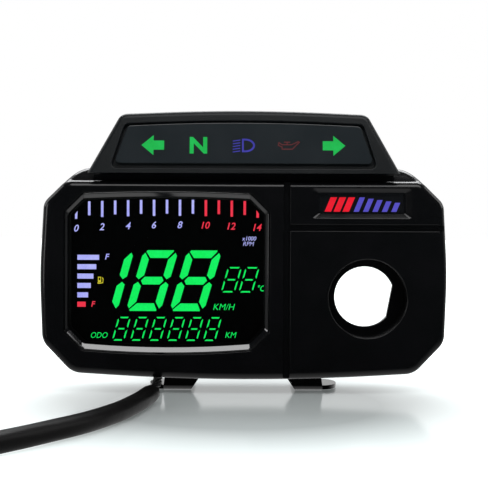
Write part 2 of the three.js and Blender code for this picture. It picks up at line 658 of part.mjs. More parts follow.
// A rubber bush in the housing's back wall, with a tapered nose round the wires.
function grommet() {
  const bore = WIRES_D / 2 + GAP;
  const profile = [
    [bore, HOUSING_BACK - 5], [6, HOUSING_BACK - 5], [6, HOUSING_BACK - SHELL_WALL - GAP],
    [4.2, HOUSING_BACK - SHELL_WALL - GAP], [4.2, HOUSING_BACK + GAP], [6.2, HOUSING_BACK + GAP],
    [5.6, HOUSING_BACK + 2], [3.6, HOUSING_BACK + 5], [bore, HOUSING_BACK + 5], [bore, HOUSING_BACK - 5],
  ];
  const ring = new THREE.LatheGeometry(profile.map(([r, y]) => new THREE.Vector2(r, y)), 16);
  addPart('cable_grommet', ring.translate(GROMMET.x, 0, GROMMET.z), rubberBlack);
}

function harness() {
  grommet();
  addPart('harness_wires', tubeAlong(WIRES_ROUTE, WIRES_D, 8, 30), sleeveBlack);
  addPart('harness_sleeve', tubeAlong(SLEEVE_ROUTE, SLEEVE_D, 10, 34), sleeveBlack);

  // The sleeve ends in a boot and a rectangular connector, lying in line with its last stretch.
  const [x, y, z] = SLEEVE_ROUTE.at(-1);
  const [fromX, fromY] = SLEEVE_ROUTE.at(-2);
  const heading = Math.atan2(y - fromY, x - fromX);
  const placed = (geometry) => geometry.rotateZ(heading).translate(x, y, z);

  const boot = new THREE.CylinderGeometry(BOOT.thick, BOOT.thin, BOOT.length, 12).rotateZ(-Math.PI / 2);
  addPart('connector_boot', placed(boot.translate(GAP + BOOT.length / 2, 0, BOOT.lift)), rubberBlack);
  const front = BOOT.length + 2 * GAP;
  const mouth = front + CONNECTOR.length;
  const shell = block(front, mouth, -CONNECTOR.half, CONNECTOR.half, CONNECTOR.bottom, CONNECTOR.top);
  const inside = mouth - SOCKET.depth;
  const socket = block(inside, mouth + PROUD, -SOCKET.half, SOCKET.half, SOCKET.bottom, SOCKET.top);
  addPart('harness_connector', placed(geometryOf(shell.subtract(socket))), whitePlastic);
}

frontCover();
displayStack();
mainBoard();
badge();
rearHousing();
indicatorHood();
mountingBracket();
harness();

export default cluster;
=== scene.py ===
"""Looks of a motorcycle instrument cluster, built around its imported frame.

Lengths in the helpers are millimetres in the cluster's own coordinates: x to the rider's right,
y back from the plane of the face, z up from the surface. place() turns them into row-frame metres.
"""

import json
import math

import bmesh
import bpy
from mathutils import Matrix, Vector


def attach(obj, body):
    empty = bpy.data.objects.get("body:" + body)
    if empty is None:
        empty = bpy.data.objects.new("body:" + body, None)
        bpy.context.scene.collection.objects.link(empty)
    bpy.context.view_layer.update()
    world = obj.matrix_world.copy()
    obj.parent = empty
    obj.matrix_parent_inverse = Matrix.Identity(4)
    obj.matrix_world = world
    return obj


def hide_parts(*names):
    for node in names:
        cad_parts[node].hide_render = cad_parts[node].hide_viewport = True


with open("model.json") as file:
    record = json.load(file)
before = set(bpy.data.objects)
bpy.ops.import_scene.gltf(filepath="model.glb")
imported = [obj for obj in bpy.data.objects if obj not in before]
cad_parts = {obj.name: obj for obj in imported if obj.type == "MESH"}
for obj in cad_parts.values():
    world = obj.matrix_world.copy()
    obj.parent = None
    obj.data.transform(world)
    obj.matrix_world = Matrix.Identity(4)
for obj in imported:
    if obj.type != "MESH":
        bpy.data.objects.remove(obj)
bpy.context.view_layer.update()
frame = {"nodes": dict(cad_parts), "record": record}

MM = 0.001
CENTRE_DEPTH = 21.25
SCENE = bpy.context.scene


def place(x, y, z):
    return Vector((x, y - CENTRE_DEPTH, z)) * MM


# ---- camera -------------------------------------------------------------------------------

camera = bpy.data.objects.new("camera", bpy.data.cameras.new("camera"))
SCENE.collection.objects.link(camera)
SCENE.camera = camera
camera.data.sensor_width = 36
camera.data.lens = 85.1
SEEN_FROM, EYE_Z = 525, 81.8
camera.location = place(0, -SEEN_FROM, EYE_Z)
sight = (place(0.2, 0, 69) - camera.location).to_track_quat("-Z", "Y")
camera.rotation_euler = (sight.to_matrix() @ Matrix.Rotation(math.radians(0.25), 3, "Z")).to_euler()

# ---- mesh tools ---------------------------------------------------------------------------


def mesh_object(name, points, faces):
    mesh = bpy.data.meshes.new(name)
    mesh.from_pydata([place(*p) for p in points], [], faces)
    shape = bmesh.new()
    shape.from_mesh(mesh)
    bmesh.ops.recalc_face_normals(shape, faces=shape.faces)
    if shape.calc_volume(signed=True) < 0:
        bmesh.ops.reverse_faces(shape, faces=shape.faces)
    shape.to_mesh(mesh)
    shape.free()
    obj = bpy.data.objects.new(name, mesh)
    SCENE.collection.objects.link(obj)
    return obj


def rounded(corners, steps=8):
    """A closed outline of (x, z) points, each corner (x, z, radius) rounded in the same number of steps."""
    points = []
    for i, (x, z, radius) in enumerate(corners):
        here = Vector((x, z))
        back = (Vector(corners[i - 1][:2]) - here).normalized()
        onward = (Vector(corners[(i + 1) % len(corners)][:2]) - here).normalized()
        turn = math.pi - math.acos(max(-1, min(1, back.dot(onward))))
        centre = here + (back + onward).normalized() * (radius / math.cos(turn / 2))
        start = here + back * (radius * math.tan(turn / 2)) - centre
        for k in range(steps + 1):
            angle = turn * k / steps
            points.append(centre + Matrix.Rotation(angle, 2) @ start)
    return points


def inset(points, distance):
    moved = []
    for i, here in enumerate(points):
        a = (here - points[i - 1]).normalized()
        b = (points[(i + 1) % len(points)] - here).normalized()
        inward = Vector((-a.y - b.y, a.x + b.x)).normalized()
        moved.append(here + inward * (distance / math.sqrt((1 + a.dot(b)) / 2)))
    return moved


def mix(first, second, share):
    return [a.lerp(b, share) for a, b in zip(first, second)]


def circle(x, z, radius, sides=96):
    return [
        Vector((x + radius * math.cos(angle), z + radius * math.sin(angle)))
        for angle in [2 * math.pi * k / sides for k in range(sides)]
    ]


def rectangle(left, right, bottom, top, radius=0.5, steps=4):
    corners = [(left, bottom), (right, bottom), (right, top), (left, top)]
    return rounded([(x, z, radius) for x, z in corners], steps)


def loft(name, rings, loop=False):
    """A closed body through (y, outline) rings of equal count. With loop, the last ring joins the first."""
    count = len(rings[0][1])
    points = [(p.x, y, p.y) for y, ring in rings for p in ring]
    faces = []
    for r in range(len(rings) if loop else len(rings) - 1):
        here, after = r * count, (r + 1) % len(rings) * count
        for k in range(count):
            n = (k + 1) % count
            faces.append((here + k, here + n, after + n, after + k))
    if not loop:
        faces.append(tuple(range(count)))
        faces.append(tuple(range((len(rings) - 1) * count, len(rings) * count)))
    return mesh_object(name, points, faces)


def round_front(outline, front, radius, steps=6):
    rings = []
    for k in range(steps + 1):
        angle = math.pi / 2 * k / steps
        rings.append((front + radius * (1 - math.cos(angle)), inset(outline, radius * (1 - math.sin(angle)))))
    return rings


def round_back(outline, back, radius, steps=6):
    return [(back - y, ring) for y, ring in reversed(round_front(outline, 0, radius, steps))]


def slab(name, outline, front, back, edge=0.15):
    """A plate with softly rounded front and back edges."""
    return loft(name, round_front(outline, front, edge, 2) + round_back(outline, back, edge, 2))


def box(name, x0, x1, y0, y1, z0, z1, edge=0.2):
    return slab(name, rectangle(x0, x1, z0, z1, 1.6 * edge), y0, y1, edge)


def lathe(name, profile, centre, axis="Y", sides=48):
    """A closed profile of (radius, height) turned round an axis through centre."""
    points, faces = [], []
    cx, cy, cz = centre
    for radius, height in profile:
        for k in range(sides):
            a, b = radius * math.cos(2 * math.pi * k / sides), radius * math.sin(2 * math.pi * k / sides)
            points.append((cx + a, cy + height, cz + b) if axis == "Y" else (cx + a, cy + b, cz + height))
    for r in range(len(profile) - 1):
        for k in range(sides):
            n = (k + 1) % sides
            faces.append((r * sides + k, r * sides + n, (r + 1) * sides + n, (r + 1) * sides + k))
    if profile[0] == profile[-1]:
        points = points[:-sides]
        total = len(points)
        faces = [tuple(i % total for i in f) for f in faces]
    else:
        faces.append(tuple(range(sides)))
        faces.append(tuple(range((len(profile) - 1) * sides, len(profile) * sides)))
    return mesh_object(name, points, faces)


def boolean(obj, other, operation):
    modifier = obj.modifiers.new("cut", "BOOLEAN")
    modifier.operation = operation
    modifier.solver = "EXACT"
    modifier.object = other
    bake(obj)
    bpy.data.objects.remove(other)
    return obj


def cut(obj, other):
    return boolean(obj, other, "DIFFERENCE")


def unite(obj, other):
    return boolean(obj, other, "UNION")


def bake(obj):
    """Applies an object's modifiers to its mesh."""
    graph = bpy.context.evaluated_depsgraph_get()
    mesh = bpy.data.meshes.new_from_object(obj.evaluated_get(graph))
    obj.modifiers.clear()
    obj.data = mesh
    return obj


def join(name, objects):
    """One object from several."""
    shape = bmesh.new()
    for obj in objects:
        shape.from_mesh(obj.data)
    mesh = bpy.data.meshes.new(name)
    shape.to_mesh(mesh)
    shape.free()
    for obj in objects:
        bpy.data.objects.remove(obj)
    joined = bpy.data.objects.new(name, mesh)
    SCENE.collection.objects.link(joined)
    return joined


def smooth(obj, angle=32):
    mesh = obj.data
    mesh.polygons.foreach_set("use_smooth", [True] * len(mesh.polygons))
    mesh.set_sharp_from_angle(angle=math.radians(angle))
    weighted = obj.modifiers.new("weighted", "WEIGHTED_NORMAL")
    weighted.keep_sharp = True
    return obj


def piece(obj, material, stands_for=(), angle=32):
    """Finishes a built piece: shading, material, body, slot and the CAD nodes that it stands for."""
    obj.data.materials.clear()
    obj.data.materials.append(material)
    smooth(obj, angle)
    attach(obj, "root")
    if stands_for:
        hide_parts(*stands_for)
    return obj


def unlit_surroundings(obj):
    """Keeps a lit symbol, or the window over it, from lighting what is round it: the studio is far brighter."""
    obj.visible_diffuse = False
    obj.visible_glossy = False
    return obj


# ---- materials ----------------------------------------------------------------------------


def srgb(r, g, b):
    def linear(c):
        c /= 255
        return c / 12.92 if c <= 0.04045 else ((c + 0.055) / 1.055) ** 2.4
    return (linear(r), linear(g), linear(b), 1)


def new_material(name):
    material = bpy.data.materials.new(name)
    material.use_nodes = True
    tree = material.node_tree
    shader = tree.nodes["Principled BSDF"]
    coordinates = tree.nodes.new("ShaderNodeTexCoord")
    return material, tree, shader, coordinates.outputs["Object"]


def noise(tree, coordinates, scale, detail=3.0, roughness=0.5):
    node = tree.nodes.new("ShaderNodeTexNoise")
    node.inputs["Scale"].default_value = scale
    node.inputs["Detail"].default_value = detail
    node.inputs["Roughness"].default_value = roughness
    tree.links.new(coordinates, node.inputs["Vector"])
    return node.outputs["Fac"]


def ramp(tree, value, low, high, from_low=0.3, from_high=0.7):
    """Maps a value between two limits to a number between two others."""
    node = tree.nodes.new("ShaderNodeMapRange")
    node.inputs["From Min"].default_value = from_low
    node.inputs["From Max"].default_value = from_high
    node.inputs["To Min"].default_value = low
    node.inputs["To Max"].default_value = high
    tree.links.new(value, node.inputs["Value"])
    return node.outputs["Result"]


def blend_colours(tree, value, first, second):
    node = tree.nodes.new("ShaderNodeMix")
    node.data_type = "RGBA"
    tree.links.new(value, node.inputs["Factor"])
    node.inputs["A"].default_value = first
    node.inputs["B"].default_value = second
    return node.outputs["Result"]


def bump(tree, shader, height, distance, strength=1.0):
    node = tree.nodes.new("ShaderNodeBump")
    node.inputs["Distance"].default_value = distance
    node.inputs["Strength"].default_value = strength
    tree.links.new(height, node.inputs["Height"])
    tree.links.new(node.outputs["Normal"], shader.inputs["Normal"])


def surface(name, dark, light, rough, grain, grain_depth, specular=0.5, metallic=0.0, coat=0.0, patch=60):
    """A moulded, painted or plated surface: patchy colour, roughness that varies, and a fine grain."""
    material, tree, shader, at = new_material(name)
    patches = noise(tree, at, patch, 4.0, 0.6)
    fine = noise(tree, at, grain, 2.0, 0.6)
    colour = blend_colours(tree, ramp(tree, patches, 0, 1), srgb(*dark), srgb(*light))
    tree.links.new(colour, shader.inputs["Base Color"])
    tree.links.new(ramp(tree, patches, rough[0], rough[1]), shader.inputs["Roughness"])
    shader.inputs["Specular IOR Level"].default_value = specular
    shader.inputs["Metallic"].default_value = metallic
    shader.inputs["Coat Weight"].default_value = coat
    shader.inputs["Coat Roughness"].default_value = 0.06
    bump(tree, shader, fine, grain_depth * MM)
    return material


def lit(name, colour, strength, edge):
    """A lit display segment, whose printed colour filter is a little uneven."""
    material, tree, shader, at = new_material(name)
    grain = noise(tree, at, 900, 2.0)
    patches = noise(tree, at, 140, 2.0)
    bright = blend_colours(tree, ramp(tree, patches, 0, 1), srgb(*colour), srgb(*edge))
    tree.links.new(bright, shader.inputs["Emission Color"])
    tree.links.new(ramp(tree, grain, strength * 0.94, strength * 1.05), shader.inputs["Emission Strength"])
    shader.inputs["Base Color"].default_value = (0.01, 0.01, 0.01, 1)
    shader.inputs["Roughness"].default_value = 0.5
    shader.inputs["Specular IOR Level"].default_value = 0.1
    return material


def clear(name, tint):
    """Clear moulded polycarbonate with a faint flow pattern."""
    material, tree, shader, at = new_material(name)
    shader.inputs["Base Color"].default_value = tint
    shader.inputs["Transmission Weight"].default_value = 1
    shader.inputs["IOR"].default_value = 1.3
    flow = noise(tree, at, 35, 2.0)
    tree.links.new(ramp(tree, flow, 0, 0.006), shader.inputs["Roughness"])
    return material


face_black = surface("face_black", (8, 9, 10), (11, 11, 13), (0.15, 0.22), 1800, 0.004, 0.28)
well_black = surface("well_black", (8, 8, 9), (12, 12, 13), (0.35, 0.5), 1500, 0.01, 0.3)
hood_black = surface("hood_black", (12, 15, 17), (16, 19, 21), (0.32, 0.4), 2600, 0.012, 0.2)
bezel_black = surface("bezel_black", (10, 11, 12), (15, 16, 18), (0.07, 0.12), 900, 0.002, 1.0)
lens_black = surface("lens_black", (30, 34, 37), (33, 37, 40), (0.10, 0.16), 700, 0.003, 0.5)
rear_black = surface("rear_black", (16, 16, 17), (24, 24, 25), (0.55, 0.7), 1700, 0.05, 0.45)
rubber_black = surface("rubber_black", (13, 13, 13), (24, 24, 23), (0.7, 0.85), 1400, 0.03, 0.35)
paint_black = surface("paint_black", (7, 7, 8), (12, 12, 14), (0.14, 0.24), 500, 0.012, 0.25, coat=0.45)
vinyl_black = surface("vinyl_black", (8, 8, 9), (15, 14, 14), (0.34, 0.44), 420, 0.05, 0.07)
wire_black = surface("wire_black", (9, 9, 10), (19, 19, 20), (0.42, 0.55), 700, 0.02, 0.12)
zinc = surface("zinc", (120, 122, 126), (165, 167, 170), (0.28, 0.45), 900, 0.02, 0.5, metallic=1.0)
nylon = surface("nylon", (205, 203, 190), (226, 224, 213), (0.4, 0.55), 900, 0.03, 0.45)
white_plastic = surface("white_plastic", (205, 205, 200), (225, 225, 221), (0.45, 0.6), 1200, 0.02)
lcd_black = surface("lcd_black", (3, 5, 5), (5, 7, 7), (0.1, 0.2), 600, 0.002, 0.2)
board_green = surface("board_green", (16, 70, 44), (24, 92, 58), (0.35, 0.5), 1100, 0.02)
chip_black = surface("chip_black", (22, 22, 24), (32, 32, 34), (0.45, 0.6), 2200, 0.02)
can_metal = surface("can_metal", (140, 143, 146), (170, 172, 175), (0.3, 0.4), 700, 0.01, metallic=1.0)
led_resin = surface("led_resin", (225, 215, 165), (240, 232, 190), (0.2, 0.3), 900, 0.01)
brass = surface("brass", (170, 140, 70), (200, 170, 95), (0.25, 0.4), 900, 0.01, metallic=1.0)
window_clear = clear("window_clear", srgb(232, 236, 238))
badge_ground = surface("badge_ground", (15, 16, 18), (19, 20, 23), (0.12, 0.2), 800, 0.003, 0.4)
lit_green = lit("lit_green", (8, 248, 92), 1.1, (16, 252, 104))
lit_lavender = lit("lit_lavender", (172, 172, 252), 1.15, (190, 190, 255))
lit_red = lit("lit_red", (244, 50, 70), 1.15, (252, 60, 82))
lit_yellow = lit("lit_yellow", (220, 205, 40), 1.0, (240, 225, 60))
lamp_green = lit("lamp_green", (2, 172, 66), 1.0, (10, 188, 80))
lamp_violet = lit("lamp_violet", (50, 48, 152), 1.0, (60, 57, 168))
badge_crimson = lit("badge_crimson", (226, 6, 34), 1.0, (238, 14, 44))
badge_blue = lit("badge_blue", (74, 67, 178), 1.0, (86, 80, 196))
lit_dim_red = lit("lit_dim_red", (76, 25, 28), 1.0, (92, 30, 33))

# ---- wiring: the two cords, on the routes that the CAD solids have -------------------------

WIRES_ROUTE = [
    (-50, 51.2, 40), (-50, 56, 40), (-49.8, 61, 39.3), (-49.5, 66.6, 36.6), (-49, 71.6, 31),
    (-48.5, 74, 24), (-47.5, 73, 16.6), (-46.5, 69.4, 11), (-45.3, 63.6, 6.8), (-44.2, 56, 4.8),
    (-43, 47, 4.6), (-41.8, 38, 4.8), (-40.8, 28, 4.9), (-40.2, 18, 4.9), (-39.8, 8, 4.6),
    (-39.6, -2, 4.3), (-39.6, -12, 4.25), (-39.9, -22, 4.25),
]
SLEEVE_ROUTE = [
    (-39.9, -22.4, 4.25), (-41.2, -32, 4.2), (-43.1, -44.4, 4.2), (-46, -58, 4.2), (-50, -72.6, 4.2),
    (-55.3, -87, 4.2), (-62, -100.6, 4.2), (-69.5, -112.9, 4.2), (-77, -124, 4.2), (-84, -134.2, 4.2),
    (-91.7, -145.2, 4.2), (-101, -155.6, 4.2), (-112, -164.2, 4.2), (-125, -169.8, 4.2), (-139, -170.8, 4.2),
    (-152.5, -166.6, 4.2), (-163.6, -157.6, 4.2), (-170.8, -145.4, 4.2), (-173.2, -131.4, 4.2),
    (-173.2, -118, 4.2), (-173.2, -105, 4.2), (-173.2, -94, 4.2),
]
SLEEVE_D = 8.2


def along(route, per_span):
    """A smooth line through the route's points."""
    points = [Vector(p) for p in route]
    ends = [2 * points[0] - points[1], *points, 2 * points[-1] - points[-2]]
    line = []
    for a, b, c, d in zip(ends, ends[1:], ends[2:], ends[3:]):
        for k in range(per_span):
            t = k / per_span
            line.append(0.5 * (2 * b + (c - a) * t + (2 * a - 5 * b + 4 * c - d) * t * t
                               + (3 * b - a - 3 * c + d) * t ** 3))
    line.append(points[-1])
    return line


def frames(line):
    """For each point of a line, two directions across it that don't twist along it."""
    found, side = [], None
    for i, here in enumerate(line):
        ahead = (line[min(i + 1, len(line) - 1)] - line[max(i - 1, 0)]).normalized()
        side = ahead.orthogonal() if side is None else side
        side = (side - ahead * side.dot(ahead)).normalized()
        found.append((side.copy(), ahead.cross(side)))
    return found


def sweep(name, line, radii, sides, flatten=None):
    """A tube with a radius at each point of its line. flatten gives each ring's own squeeze."""
    points, faces = [], []
    for i, (here, (u, v)) in enumerate(zip(line, frames(line))):
        for k in range(sides):
            angle = 2 * math.pi * k / sides
            radius = radii[i] * (flatten(i, angle) if flatten else 1)
            points.append(here + (u * math.cos(angle) + v * math.sin(angle)) * radius)
    for i in range(len(line) - 1):
        for k in range(sides):
            n = (k + 1) % sides
            faces.append((i * sides + k, i * sides + n, (i + 1) * sides + n, (i + 1) * sides + k))
    faces.append(tuple(range(sides)))
    faces.append(tuple(range((len(line) - 1) * sides, len(line) * sides)))
    return mesh_object(name, points, faces)


wires_line = along(WIRES_ROUTE, 8)
STRAND_D = 1.44
STRAND_PITCH = 62
strands = []
for index in range(7):
    reach = 0 if index == 6 else STRAND_D
    travelled, strand = 0.0, []
    for i, (here, (u, v)) in enumerate(zip(wires_line, frames(wires_line))):
        travelled += (here - wires_line[max(i - 1, 0)]).length
        angle = 2 * math.pi * (index / 6 + travelled / STRAND_PITCH)
        strand.append(here + (u * math.cos(angle) + v * math.sin(angle)) * reach)
    strands.append(sweep(f"strand_{index}", strand, [STRAND_D / 2] * len(strand), 12))
wires = piece(join("wire_bundle", strands), wire_black, ["harness_wires"], 60)

sleeve_line = along(SLEEVE_ROUTE, 10)
MOUTH = 6  # rings at the sleeve's open mouth, where the wires go in


def sleeve_squeeze(i, angle):
    """The soft sleeve is a little flattened, with long shallow creases."""
    far = i / len(sleeve_line)
    crease = 0.012 * math.sin(3 * angle + 26 * far) + 0.008 * math.sin(5 * angle - 61 * far)
    return 1 - 0.018 + crease


outer_radii = [SLEEVE_D / 2] * len(sleeve_line)
for k in range(MOUTH):
    outer_radii[k] = SLEEVE_D / 2 * (0.90 + 0.1 * k / MOUTH)
sleeve = sweep("sleeve_tube", sleeve_line, outer_radii, 36, sleeve_squeeze)
# the open mouth: a short bore round the wires
bore_line = [sleeve_line[0] + (sleeve_line[0] - sleeve_line[1]), *sleeve_line[:5]]
cut(sleeve, sweep("bore", bore_line, [SLEEVE_D / 2 * 0.76] * len(bore_line), 36))

END_X, END_Y, END_Z = SLEEVE_ROUTE[-1]
boot_rings = [(4.15, 0.3), (4.3, 0.5)]
for k in range(4):
    base = 0.9 + 1.75 * k
    grown = 4.35 + 0.14 * k
    boot_rings += [(grown, base), (grown, base + 0.85), (grown - 0.42, base + 1.05), (grown - 0.42, base + 1.55)]
boot_rings += [(4.95, 8.0), (5.1, 8.3), (5.1, 9.1), (4.9, 9.3)]
boot = lathe("boot", boot_rings, (END_X, END_Y, END_Z + 1), "Y", 48)
boot = piece(boot, rubber_black, ["connector_boot"])

SHELL_FRONT = END_Y + 9.6
SHELL_BACK = SHELL_FRONT + 27
shell = slab("shell", rectangle(END_X - 9.5, END_X + 9.5, 0, 11.2, 1.2), SHELL_FRONT, SHELL_BACK, 0.4)
cut(shell, slab("socket", rectangle(END_X - 7.8, END_X + 7.8, 1.6, 9.6, 0.6), SHELL_BACK - 14, SHELL_BACK + 1))
for x in (-6.2, 0, 6.2):
    cut(shell, box("flute", END_X + x - 1.6, END_X + x + 1.6, SHELL_FRONT + 3, SHELL_FRONT + 11, 10.6, 12, 0.2))
cut(shell, box("latch_slot", END_X - 2.2, END_X + 2.2, SHELL_BACK - 7, SHELL_BACK - 3.4, 9, 12, 0.2))
pins = []
for row in (4.0, 7.2):
    for k in range(4):
        x = END_X - 5.25 + 3.5 * k
        pins.append(box("pin", x - 0.32, x + 0.32, SHELL_BACK - 14.2, SHELL_BACK - 4, row - 0.32, row + 0.32, 0.08))
pins = piece(join("connector_pins", pins), brass)
shell = piece(shell, nylon, ["harness_connector"])
shell.name = "connector_shell"

sleeve = piece(sleeve, vinyl_black, ["harness_sleeve"], 50)

grommet = lathe("bush", [
    (2.5, 41), (6, 41), (6, 43.3), (4.2, 43.3), (4.2, 46.3), (6, 46.3), (6.2, 46.5), (6.05, 47), (5.5, 48),
    (4.9, 48.4), (4.9, 48.9), (4.5, 49.2), (4.2, 49.8), (4.2, 50.2), (3.7, 50.6), (3.5, 51), (2.5, 51), (2.5, 41),
], (-50, 0, 40), "Y", 48)
piece(grommet, rubber_black, ["cable_grommet"])

# ---- outlines of the case -----------------------------------------------------------------


def case_outline(top, top_half, top_radius):
    right = [(78.4, 9.6, 10), (92.2, 24.1, 9), (93.3, 55, 220), (91.5, 87.6, 7), (top_half, top, top_radius)]
    left = [(-x, z, r) for x, z, r in reversed(right)]
    return rounded([(0, 5, 1030), *right, *left], 10)


face_outline = case_outline(97.8, 81.1, 7)
shoulder_outline = case_outline(103.7, 75.6, 14)
housing_outline = rounded([
    (x, z, 7) for x, z in ((-70, 20), (70, 20), (80, 30), (80, 85.5), (66, 99.5), (-66, 99.5), (-80, 85.5), (-80, 30))
], 10)


def display_outline(left, right, bottom, top, chamfer, radius=2.5):
    middle = (left + right) / 2
    return rounded([
        (left + chamfer, bottom, radius), (middle, bottom - 3, 440), (right - chamfer, bottom, radius),
        (right, bottom + chamfer, radius), (right, top - chamfer, radius),
        (right - chamfer, top, radius), (middle, top + 1.8, 740), (left + chamfer, top, radius),
        (left, top - chamfer, radius), (left, bottom + chamfer, radius),
    ], 8)


bezel_outline = display_outline(-81.6, 11.7, 20.4, 91.8, 8.2)
window_outline = display_outline(-80.1, 10, 23.2, 89.5, 7)
SWITCH_X, SWITCH_Z = 56.8, 44.2
SWITCH_MOUTH, SWITCH_WALL = 18, 20.2  # inner and outer radius of the tube round the switch
WALL, HOUSING_BACK = 2.4, 46
SCREW_HOLE = 1.75  # radius
BRACKET_SCREWS = [(-27, 25), (27, 25), (27, 38), (-27, 38)]
CASE_SCREWS = [(-81.6, 88.6), (81.6, 88.6), (-86.4, 52), (86.4, 52), (-52, 14.2), (52, 14.2)]

# ---- front cover --------------------------------------------------------------------------


def lip_rings(outline, lip, depth, steps=4):
    """Rings of a cutter that leaves a rounded lip where it meets the face."""
    rings = [(-1, inset(outline, -lip)), (0, inset(outline, -lip))]
    for k in range(1, steps + 1):
        angle = math.pi / 2 * k / steps
        rings.append((lip * (1 - math.cos(angle)), inset(outline, -lip * (1 - math.sin(angle)))))
    return [*rings, (depth, outline)]


def groove(name, centre, half, depth, along_x, start, stop):
    """A cutter for a straight groove with rounded lips; it runs along x or along z."""
    lip = 0.45
    section = [(-half - lip, -1), (-half - lip, 0)]
    for k in range(1, 5):
        angle = math.pi / 2 * k / 4
        section.append((-half - lip * (1 - math.sin(angle)), lip * (1 - math.cos(angle))))
    section += [(-half, depth - 0.3), (-half + 0.3, depth)]
    section += [(-a, y) for a, y in reversed(section)]
    points = []
    for end in (start, stop):
        points += [(end, y, centre + a) if along_x else (centre + a, y, end) for a, y in section]
    n = len(section)
    faces = [(k, (k + 1) % n, n + (k + 1) % n, n + k) for k in range(n)]
    faces += [tuple(range(n)), tuple(range(n, 2 * n))]
    return mesh_object(name, points, faces)


cover = loft("case_face", [
    *round_front(face_outline, 0, 3.5, 8),
    (4.5, mix(face_outline, shoulder_outline, 0.17)),
    (5.5, mix(face_outline, shoulder_outline, 0.45)),
    (6.6, mix(face_outline, shoulder_outline, 0.68)),
    (7.7, mix(face_outline, shoulder_outline, 0.85)),
    (8.9, mix(face_outline, shoulder_outline, 0.96)),
    (9.7, shoulder_outline),
    (10, inset(shoulder_outline, 0.25)),
])
cut(cover, loft("hollow", [
    (3, inset(face_outline, 3.6)),
    (5.5, inset(mix(face_outline, shoulder_outline, 0.45), WALL)),
    (7.7, inset(mix(face_outline, shoulder_outline, 0.85), WALL)),
    (11, inset(shoulder_outline, WALL)),
]))
well = circle(SWITCH_X, SWITCH_Z, SWITCH_WALL)
unite(cover, loft("well", [(1.5, well), (18, well)]))
cut(cover, loft("mouth", lip_rings(circle(SWITCH_X, SWITCH_Z, SWITCH_MOUTH), 0.5, 15, 6)))


def barrel_hole(radius):
    flat, half_gap = math.radians(-10.9), math.acos(0.84)
    sweep_angle = 2 * math.pi - 2 * half_gap
    return [
        Vector((SWITCH_X + radius * math.cos(flat + half_gap + sweep_angle * k / 80),
                SWITCH_Z + radius * math.sin(flat + half_gap + sweep_angle * k / 80)))
        for k in range(81)
    ]


cut(cover, loft("barrel", [
    (13, barrel_hole(14.6)), (15, barrel_hole(14.6)), (15.5, barrel_hole(14.1)), (19, barrel_hole(14.1)),
]))
cut(cover, loft("display_hole", lip_rings(inset(bezel_outline, -0.3), 0.3, 4, 3)))
badge_rim = rectangle(31, 76.8, 80.9, 94.4, 1.6)
badge_hole = rectangle(34.2, 73.9, 83, 92.6, 0.8)
cut(cover, loft("badge_hole", [
    (-1, inset(badge_rim, -0.3)), (0, inset(badge_rim, -0.3)), (0.12, badge_rim), (1.7, badge_hole), (4, badge_hole),
]))
cut(cover, groove("groove_up", 19.7, 1.5, 1.6, False, 0, 110))
cut(cover, groove("groove_across", 76.5, 1.4, 1.6, True, 20.4, 100))
for x, z in CASE_SCREWS:
    unite(cover, loft("boss", [(1.5, circle(x, z, 2.8, 32)), (10, circle(x, z, 2.8, 32))]))
    cut(cover, loft("pilot", [(4.5, circle(x, z, SCREW_HOLE, 24)), (11, circle(x, z, SCREW_HOLE, 24))]))
piece(cover, face_black, ["front_cover"])

# ---- display ------------------------------------------------------------------------------

bezel = loft("display_rim", [
    (0.5, bezel_outline), (0.28, inset(bezel_outline, 0.08)), (0.2, inset(bezel_outline, 0.3)),
    (0.2, inset(bezel_outline, 0.45)), (0.26, mix(inset(bezel_outline, 0.5), window_outline, 0.06)),
    (0.8, mix(inset(bezel_outline, 0.5), window_outline, 0.52)),
    (1.32, mix(inset(bezel_outline, 0.5), window_outline, 0.96)), (1.55, window_outline), (5, window_outline),
    (5, inset(bezel_outline, -0.7)), (3.35, inset(bezel_outline, -0.7)), (3.35, bezel_outline),
], loop=True)
piece(bezel, bezel_black, ["display_bezel"], 25)

pane = slab("display_pane", inset(window_outline, -2), 5.3, 6.8)
unlit_surroundings(piece(pane, window_clear, ["display_window"]))

lcd = slab("display_glass", inset(window_outline, -1), 8, 10.2, 0.1)
piece(lcd, lcd_black, ["lcd_glass"])

ART_FRONT = 7.93
ART_BACK = 7.98


def on_glass(x, z, depth=ART_FRONT):
    """A point measured on the plane of the face, carried to the display's own depth along the line of sight."""
    scale = (SEEN_FROM + depth) / SEEN_FROM
    return Vector((x * scale, EYE_Z + (z - EYE_Z) * scale))


def printed(points, front=ART_FRONT, back=ART_BACK):
    """A thin printed shape from an outline of (x, z) points."""
    return loft("printed", [(front, points), (back, points)])


def bar(points):
    return printed([on_glass(x, z) for x, z in points])


def slanted(points, x0, z0, slant):
    return [(x0 + x + slant * z, z0 + z) for x, z in points]


